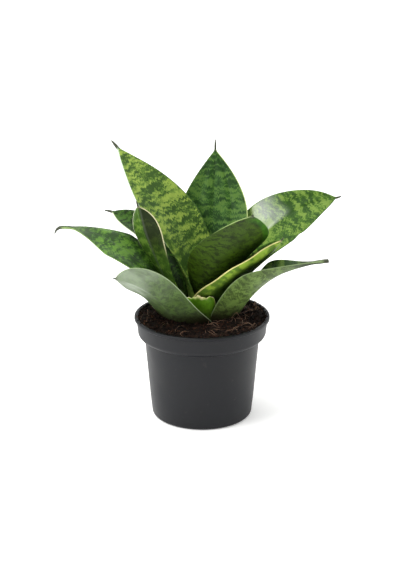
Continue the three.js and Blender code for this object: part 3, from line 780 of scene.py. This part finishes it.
potShape = {
    "height": potHigh.z / mm, "rimRadius": (potHigh.x - potLow.x) / 2 / mm,
    "lipHeight": 2.4, "lipOverhang": 1.8, "lipEdge": (0.4, 0.3), "innerEdge": 0.6,
    "collarHeight": 18.6, "collarTaper": 1.2, "collarRound": 4.5, "shoulderStep": 5.8,
    "baseRadius": 45, "baseCorner": 3, "wall": 1.5, "floor": 1.8, "footRecess": 1.8,
    "footRing": 6, "middleFoot": 13, "drainHoles": 8, "drainRadius": 3.5, "drainSides": 32,
    "drillLength": 20, "sides": 160,
    # a fine bead below the collar: how far out each point is, and how far above the collar's foot
    "bead": [(-0.2, -1.8), (0.35, -1.3), (0.45, -0.9), (0.1, -0.4), (0.6, 0)],
}

potLook = {  # sizes in millimetres
    "dark": "#0a0b10", "pale": "#0f1116", "cloud": 35, "roughness": (0.42, 0.52),
    "dust": "#6a6058", "dustCloud": 6, "dustShare": 0.12, "specular": 0.28,
    "grain": 0.6,  # a real mould's grain is finer, and this is as fine as shows
}

poleGap = 0.05  # a turned profile starts and ends this far from the axis, and is then closed


def arcPoints(r, z, radius, start, stop, steps):
    # a rounded corner of a profile, centred at r and z, from one angle to another
    angles = [math.radians(start + (stop - start) * i / steps) for i in range(steps + 1)]
    return [(r + radius * math.cos(a), z + radius * math.sin(a)) for a in angles]


def turnedPiece(name, profile, sides):
    # a ring of edges, drawn up through the profile by extruding and scaling
    deselect()
    radius, height = profile[0]
    bpy.ops.mesh.primitive_circle_add(vertices=sides, radius=radius * mm,
                                      location=(0, 0, height * mm))
    piece = bpy.context.object
    piece.name = name
    bpy.ops.object.transform_apply(location=True, rotation=False, scale=False)
    bpy.ops.object.mode_set(mode="EDIT")
    bpy.ops.mesh.select_all(action="SELECT")
    for nextRadius, nextHeight in profile[1:]:
        bpy.ops.mesh.extrude_region_move(
            TRANSFORM_OT_translate={"value": (0, 0, (nextHeight - height) * mm)})
        if abs(nextRadius - radius) > 1e-6:
            share = nextRadius / radius
            bpy.ops.transform.resize(value=(share, share, 1), center_override=(0, 0, 0))
        radius, height = nextRadius, nextHeight
    bpy.ops.object.mode_set(mode="OBJECT")
    return piece


def closePoles(piece):
    # the rings nearest the axis are drawn together to a point
    activate(piece)
    bpy.ops.object.mode_set(mode="EDIT")
    bpy.ops.mesh.select_all(action="DESELECT")
    bpy.ops.object.mode_set(mode="OBJECT")
    for vertex in piece.data.vertices:
        vertex.select = math.hypot(vertex.co.x, vertex.co.y) < 1.2 * poleGap * mm
    bpy.ops.object.mode_set(mode="EDIT")
    bpy.ops.mesh.remove_doubles(threshold=4 * poleGap * mm)
    bpy.ops.mesh.select_all(action="SELECT")
    bpy.ops.mesh.normals_make_consistent(inside=False)
    bpy.ops.object.mode_set(mode="OBJECT")


def insideProfile(gap, top):
    # the pot's inner wall from the bottom up, or a filling that keeps a gap to it
    values = potShape
    inset = values["wall"] + gap
    collar = values["rimRadius"] - values["lipOverhang"]
    lowCollar = collar - values["collarTaper"]
    collarFoot = values["height"] - values["collarHeight"]
    return [
        (values["baseRadius"] - inset, values["footRecess"] + values["floor"] + gap),
        (lowCollar - values["shoulderStep"] - inset, collarFoot + gap),
        (lowCollar - inset, collarFoot + values["collarRound"]),
        (collar - inset, top),
    ]


def mouldedPlastic():
    # injection-moulded polypropylene, dyed through with carbon black: nearly black by itself, and
    # greyed by a soft mould grain that scatters light and by a little dust
    values = potLook
    material, tree = newMaterial("moulded polypropylene")
    place = addNode(tree, "ShaderNodeTexCoord", None, None, "Object")
    grain = addNode(tree, "ShaderNodeTexNoise", None,
                    {"Vector": place, "Scale": 1 / (values["grain"] * mm), "Detail": 3.0})
    cloud = addNode(tree, "ShaderNodeTexNoise", None,
                    {"Vector": place, "Scale": 1 / (values["cloud"] * mm), "Detail": 4.0})
    dust = addNode(tree, "ShaderNodeTexNoise", None,
                   {"Vector": place, "Scale": 1 / (values["dustCloud"] * mm), "Detail": 6.0,
                    "Roughness": 0.7})
    pale = addNode(tree, "ShaderNodeMapRange", smoothStep, {0: cloud, 1: 0.3, 2: 0.7})
    dusty = addNode(tree, "ShaderNodeMapRange", smoothStep,
                    {0: dust, 1: 0.6, 2: 0.75, 3: 0.0, 4: values["dustShare"]})
    colour = addNode(tree, "ShaderNodeMix", blend,
                     {0: pale, 6: values["dark"], 7: values["pale"]}, 2)
    colour = addNode(tree, "ShaderNodeMix", blend, {0: dusty, 6: colour, 7: values["dust"]}, 2)
    low, high = values["roughness"]
    rough = addNode(tree, "ShaderNodeMapRange", smoothStep,
                    {0: cloud, 1: 0.3, 2: 0.7, 3: low, 4: high})
    bump = addNode(tree, "ShaderNodeBump", None,
                   {"Strength": 0.12, "Distance": 0.2 * mm, "Height": grain})
    finishMaterial(tree, {"Base Color": colour, "Roughness": rough, "Normal": bump, "IOR": 1.49,
                          "Specular IOR Level": values["specular"]})
    return material


def makePot():
    values = potShape
    collar = values["rimRadius"] - values["lipOverhang"]
    lowCollar = collar - values["collarTaper"]
    collarFoot = values["height"] - values["collarHeight"]
    bodyTop = lowCollar - values["shoulderStep"]
    ringInner = values["baseRadius"] - values["footRing"]
    recess, base, corner = values["footRecess"], values["baseRadius"], values["baseCorner"]
    roundIn = values["collarRound"]
    lipLow = values["height"] - values["lipHeight"]
    lipRound = values["lipHeight"] / 3
    edgeOut, edgeUp = values["lipEdge"]
    inside = insideProfile(0, values["height"] - values["innerEdge"])
    profile = [(poleGap, 0), (values["middleFoot"], 0), (values["middleFoot"] + recess, recess),
               (ringInner - recess, recess), (ringInner, 0)]
    profile += arcPoints(base - corner, corner, corner, -90, -4, 7)
    profile += [(base + (bodyTop - base) * share, collarFoot * share)
                for share in (0.2, 0.4, 0.6, 0.8)]
    profile += [(bodyTop + out, collarFoot + up) for out, up in values["bead"]]
    profile += arcPoints(lowCollar - roundIn, collarFoot + roundIn, roundIn, -62, 0, 8)
    profile += [(collar, lipLow - values["lipOverhang"] / 2),
                (values["rimRadius"] - edgeOut, lipLow), (values["rimRadius"], lipLow + edgeUp)]
    profile += arcPoints(values["rimRadius"] - lipRound, values["height"] - lipRound, lipRound,
                         0, 90, 5)
    profile += [(collar - values["wall"] + values["innerEdge"], values["height"])]
    profile += inside[::-1] + [(poleGap, recess + values["floor"])]
    pot = turnedPiece("moulded_pot", profile, values["sides"])
    closePoles(pot)
    drillRadius = (values["middleFoot"] + ringInner) / 2
    for i in range(values["drainHoles"]):
        angle = 2 * math.pi * i / values["drainHoles"]
        deselect()
        bpy.ops.mesh.primitive_cylinder_add(
            vertices=values["drainSides"], radius=values["drainRadius"] * mm,
            depth=values["drillLength"] * mm,
            location=(drillRadius * math.cos(angle) * mm, drillRadius * math.sin(angle) * mm, 0))
        drill = bpy.context.object
        cut = pot.modifiers.new("drain", "BOOLEAN")
        cut.operation = "DIFFERENCE"
        cut.object = drill
        applyAll(pot)
        bpy.data.objects.remove(drill)
    activate(pot)
    bpy.ops.object.shade_smooth_by_angle(angle=math.radians(35))  # the lip and foot keep edges
    finishPiece(pot, ["pot"], mouldedPlastic())


makePot()
print("pot moulded")


soilShape = {
    "rise": 1.6, "drop": 0.5, "sides": 150, "rings": 56, "wallGap": 0.3,
    "sink": 0.9,  # how far it has settled since it was filled
    "slopeEnd": 56, "slopeWidth": 26,  # it rises from the wall inwards
    "lumps": 1.2, "lumpSize": 9, "grit": 0.5, "gritSize": 2.3,
    "crumbs": 4300, "crumbSize": (0.35, 1.2), "crumbReach": 58.4,
    "fineBeyond": 55.5, "fineShare": 0.65,  # smaller crumbs lie by the wall and on the lip
    "chips": 70, "chipSize": (1.0, 1.9), "dents": 0.3, "flatness": 0.7,
    "fibres": 120, "fibreReach": 55, "fibreSteps": 14, "fibreSides": 6, "fibreLift": 0.9,
}


def soilHeight(x, y):
    # the surface under the crumbs, in millimetres
    values = soilShape
    reach = math.hypot(x, y)
    if reach > potShape["rimRadius"] - potShape["lipOverhang"] - potShape["wall"]:
        return potShape["height"]  # spilled on the lip
    low = potShape["height"] - values["drop"]
    slope = min(1, max(0, (values["slopeEnd"] - reach) / values["slopeWidth"]))
    wide, fine = values["lumpSize"], values["gritSize"]
    lumps = noise.noise(Vector((x / wide, y / wide, 3))) * values["lumps"]
    grit = noise.noise(Vector((x / fine, y / fine, 8))) * values["grit"]
    return low + values["rise"] * slope - values["sink"] + lumps + grit


peatLook = {"wet": "#0a0604", "dry": "#21140d", "red": "#382418", "grain": 2.2, "patch": 9}


def peat():
    # damp sphagnum peat: near black, with reddish crumbs where it has dried
    values = peatLook
    material, tree = newMaterial("damp peat")
    place = addNode(tree, "ShaderNodeTexCoord", None, None, "Object")
    grain = addNode(tree, "ShaderNodeTexNoise", None,
                    {"Vector": place, "Scale": 1 / (values["grain"] * mm), "Detail": 6.0,
                     "Roughness": 0.7})
    patch = addNode(tree, "ShaderNodeTexNoise", None,
                    {"Vector": place, "Scale": 1 / (values["patch"] * mm), "Detail": 3.0})
    dry = addNode(tree, "ShaderNodeMapRange", smoothStep, {0: grain, 1: 0.4, 2: 0.62})
    red = addNode(tree, "ShaderNodeMapRange", smoothStep,
                  {0: patch, 1: 0.5, 2: 0.7, 3: 0.0, 4: 0.4})
    colour = addNode(tree, "ShaderNodeMix", blend, {0: dry, 6: values["wet"], 7: values["dry"]}, 2)
    colour = addNode(tree, "ShaderNodeMix", blend, {0: red, 6: colour, 7: values["red"]}, 2)
    bump = addNode(tree, "ShaderNodeBump", None,
                   {"Strength": 0.7, "Distance": 0.8 * mm, "Height": grain})
    finishMaterial(tree, {"Base Color": colour, "Normal": bump, "IOR": 1.4, "Roughness": 0.9,
                          "Specular IOR Level": 0.2})
    return material


def makeSoil(material):
    values = soilShape
    low = potShape["height"] - values["drop"]
    wall = insideProfile(values["wallGap"], low)
    profile = [(poleGap, wall[0][1])] + wall
    reach = wall[-1][0]
    profile += [(reach * (1 - i / values["rings"]) + poleGap, low)
                for i in range(1, values["rings"])]
    profile.append((poleGap, low))
    soil = turnedPiece("peat_bed", profile, values["sides"])
    closePoles(soil)
    # the top is heaped and lumpy
    for vertex in soil.data.vertices:
        x, y, z = vertex.co / mm
        if z > low - 0.5 and math.hypot(x, y) < reach + 0.1:
            vertex.co.z = soilHeight(x, y) * mm
    activate(soil)
    bpy.ops.object.shade_smooth()
    finishPiece(soil, ["potting_soil"], material)


def scatter(name, roundness, places, material):
    # one mesh of many small lumps, each turned, sized and dented its own way
    values = soilShape
    deselect()
    bpy.ops.mesh.primitive_ico_sphere_add(subdivisions=roundness, radius=1)
    template = bpy.context.object
    sides = np.array([list(polygon.vertices) for polygon in template.data.polygons])
    corners = np.array([vertex.co[:] for vertex in template.data.vertices])
    bpy.data.objects.remove(template)
    vertices, faces = [], []
    draw = np.random.default_rng(7)
    for x, y, z, size, stretch in places:
        turn, _ = np.linalg.qr(draw.normal(size=(3, 3)))  # turned any way at random
        if np.linalg.det(turn) < 0:
            turn[:, 0] = -turn[:, 0]
        lump = corners * (1 + draw.uniform(-values["dents"], values["dents"], (len(corners), 1)))
        lump = (lump * [size * stretch, size, size * values["flatness"]]) @ turn.T + [x, y, z]
        faces.append(sides + len(vertices) * len(corners))
        vertices.append(lump)
    mesh = bpy.data.meshes.new(name)
    mesh.from_pydata((np.concatenate(vertices) * mm).tolist(), [], np.concatenate(faces).tolist())
    mesh.update()
    piece = bpy.data.objects.new(name, mesh)
    bpy.context.scene.collection.objects.link(piece)
    finishPiece(piece, [], material)


crumbLook = {
    "dark": "#0b0604", "brown": "#2b1910", "husk": "#5b3d2d", "dust": "#3f2a1f",
    "lump": 3.2, "grain": 0.9,
}


def crumbColours():
    # crumbs of peat, bark and husk: each lump has its own brown
    values = crumbLook
    material, tree = newMaterial("peat crumbs and bark")
    place = addNode(tree, "ShaderNodeTexCoord", None, None, "Object")
    each = addNode(tree, "ShaderNodeTexVoronoi", None,
                   {"Vector": place, "Scale": 1 / (values["lump"] * mm)}, "Color")
    pick = addNode(tree, "ShaderNodeSeparateXYZ", None, {0: each})
    fine = addNode(tree, "ShaderNodeTexNoise", None,
                   {"Vector": place, "Scale": 1 / (values["grain"] * mm), "Detail": 4.0})
    brown = addNode(tree, "ShaderNodeMapRange", smoothStep, {0: pick, 1: 0.35, 2: 0.85})
    husk = addNode(tree, "ShaderNodeMapRange", smoothStep,
                   {0: pick, 1: 0.9, 2: 0.98, 3: 0.0, 4: 0.7})
    dusty = addNode(tree, "ShaderNodeMapRange", smoothStep,
                    {0: fine, 1: 0.55, 2: 0.75, 3: 0.0, 4: 0.35})
    colour = addNode(tree, "ShaderNodeMix", blend,
                     {0: brown, 6: values["dark"], 7: values["brown"]}, 2)
    colour = addNode(tree, "ShaderNodeMix", blend, {0: husk, 6: colour, 7: values["husk"]}, 2)
    colour = addNode(tree, "ShaderNodeMix", blend, {0: dusty, 6: colour, 7: values["dust"]}, 2)
    bump = addNode(tree, "ShaderNodeBump", None,
                   {"Strength": 0.6, "Distance": 0.4 * mm, "Height": fine})
    finishMaterial(tree, {"Base Color": colour, "Normal": bump, "IOR": 1.4, "Roughness": 0.88,
                          "Specular IOR Level": 0.2})
    return material


def crumbPlaces(count, sizes):
    # most lumps are near the small end of their range
    places = []
    small, large = sizes
    reach = soilShape["crumbReach"]
    while len(places) < count:
        x, y = random.uniform(-reach, reach), random.uniform(-reach, reach)
        if math.hypot(x, y) > reach:
            continue
        size = small + (large - small) * random.random() ** 2.5
        if math.hypot(x, y) > soilShape["fineBeyond"]:
            size *= soilShape["fineShare"]
        places.append((x, y, soilHeight(x, y) + size * 0.25, size, random.uniform(1, 2)))
    return places


coirLook = {"dark": "#2a1a12", "pale": "#9c7a62", "cloud": 7}


def coirFibre():
    # coconut husk fibre: stiff, dry and tan, a little shiny
    values = coirLook
    material, tree = newMaterial("coir fibre")
    place = addNode(tree, "ShaderNodeTexCoord", None, None, "Object")
    shade = addNode(tree, "ShaderNodeTexNoise", None,
                    {"Vector": place, "Scale": 1 / (values["cloud"] * mm), "Detail": 2.0})
    pale = addNode(tree, "ShaderNodeMapRange", smoothStep, {0: shade, 1: 0.35, 2: 0.65})
    colour = addNode(tree, "ShaderNodeMix", blend,
                     {0: pale, 6: values["dark"], 7: values["pale"]}, 2)
    finishMaterial(tree, {"Base Color": colour, "IOR": 1.45, "Roughness": 0.6})
    return material


# the few fibres that stand clear of the soil: x, y, heading, bend, length, lift and radius
strayFibres = [
    (47, 22, 1.3, 0.10, 15, 9, 0.2), (50, 12, 2.2, -0.08, 13, 6, 0.16),
    (24, -16, 0.3, 0.07, 13, 5, 0.2), (33, -30, 0.8, 0.12, 12, 3, 0.18),
    (-47, -6, 2.0, -0.1, 12, 4, 0.16), (-30, 42, 1.1, 0.1, 14, 5, 0.16),
]


def fibreStarts():
    # strays first, then fibres lying about at random, most of them on the right
    starts = list(strayFibres)
    while len(starts) < soilShape["fibres"]:
        reach = (soilShape["fibreReach"] - 2) * math.sqrt(random.random())
        angle = random.uniform(0, 2 * math.pi)
        if math.cos(angle) < 0 and random.random() < 0.5:
            continue
        lift = random.uniform(0, 2.2) if len(starts) % 4 else random.uniform(2, 4)
        starts.append((reach * math.cos(angle), reach * math.sin(angle),
                       random.uniform(0, 2 * math.pi), random.uniform(-0.13, 0.13),
                       random.uniform(6, 18), lift, random.uniform(0.07, 0.15)))
    return starts


def fibreLine(start, steps):
    # a bent line over the crumbs that turns back at the pot's wall
    x, y, heading, bend, length, lift = start
    edge = soilShape["fibreReach"]
    line = []
    for i in range(steps + 1):
        if math.hypot(x, y) > edge:
            heading += 0.6
            x, y = x * edge / math.hypot(x, y), y * edge / math.hypot(x, y)
        rise = soilShape["fibreLift"] + lift * math.sin(math.pi * i / steps) ** 2
        line.append(Vector((x, y, soilHeight(x, y) + rise)))
        x += math.cos(heading) * length / steps
        y += math.sin(heading) * length / steps
        heading += bend + random.uniform(-0.1, 0.1)
    return line


def makeFibres(material):
    # each fibre is a bent hair with thin ends
    vertices, faces = [], []
    steps, sides = soilShape["fibreSteps"], soilShape["fibreSides"]
    for *start, radius in fibreStarts():
        line = fibreLine(start, steps)
        first = len(vertices)
        for i, point in enumerate(line):
            ahead = (line[min(i + 1, steps)] - line[max(i - 1, 0)]).normalized()
            side = ahead.cross(Vector((0, 0, 1))).normalized()
            rise = side.cross(ahead)
            thin = radius * (0.35 if i in (0, steps) else 1)
            for k in range(sides):
                turn = 2 * math.pi * k / sides
                spot = point + (side * math.cos(turn) + rise * math.sin(turn)) * thin
                vertices.append(tuple(spot * mm))
        for i in range(steps):
            for k in range(sides):
                a, b = first + i * sides + k, first + i * sides + (k + 1) % sides
                faces.append((a, b, b + sides, a + sides))
        faces.append(tuple(first + k for k in reversed(range(sides))))
        faces.append(tuple(first + steps * sides + k for k in range(sides)))
    mesh = bpy.data.meshes.new("coir_fibres")
    mesh.from_pydata(vertices, [], faces)
    mesh.update()
    piece = bpy.data.objects.new("coir_fibres", mesh)
    bpy.context.scene.collection.objects.link(piece)
    activate(piece)
    bpy.ops.object.mode_set(mode="EDIT")
    bpy.ops.mesh.select_all(action="SELECT")
    bpy.ops.mesh.normals_make_consistent(inside=False)
    bpy.ops.object.mode_set(mode="OBJECT")
    bpy.ops.object.shade_smooth()
    finishPiece(piece, [], material)


random.seed(12)
makeSoil(peat())
crumbs = crumbColours()
scatter("peat_crumbs", 1, crumbPlaces(soilShape["crumbs"], soilShape["crumbSize"]), crumbs)
scatter("bark_chips", 2, crumbPlaces(soilShape["chips"], soilShape["chipSize"]), crumbs)
makeFibres(coirFibre())
print("soil filled")


rhizomeLook = {"dark": "#a9753a", "pale": "#cf9f62", "cloud": 4}


def rhizomeSkin():
    # living rhizome: a thin dry cork over flesh, so orange-brown, cloudy and dull
    values = rhizomeLook
    material, tree = newMaterial("rhizome skin")
    place = addNode(tree, "ShaderNodeTexCoord", None, None, "Object")
    cloud = addNode(tree, "ShaderNodeTexNoise", None,
                    {"Vector": place, "Scale": 1 / (values["cloud"] * mm), "Detail": 4.0})
    pale = addNode(tree, "ShaderNodeMapRange", smoothStep, {0: cloud, 1: 0.35, 2: 0.65})
    colour = addNode(tree, "ShaderNodeMix", blend,
                     {0: pale, 6: values["dark"], 7: values["pale"]}, 2)
    finishMaterial(tree, {"Base Color": colour, "Roughness": 0.6})
    return material


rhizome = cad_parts["rhizome"]
rhizome.data.materials.clear()
rhizome.data.materials.append(rhizomeSkin())
print("rhizome skinned")
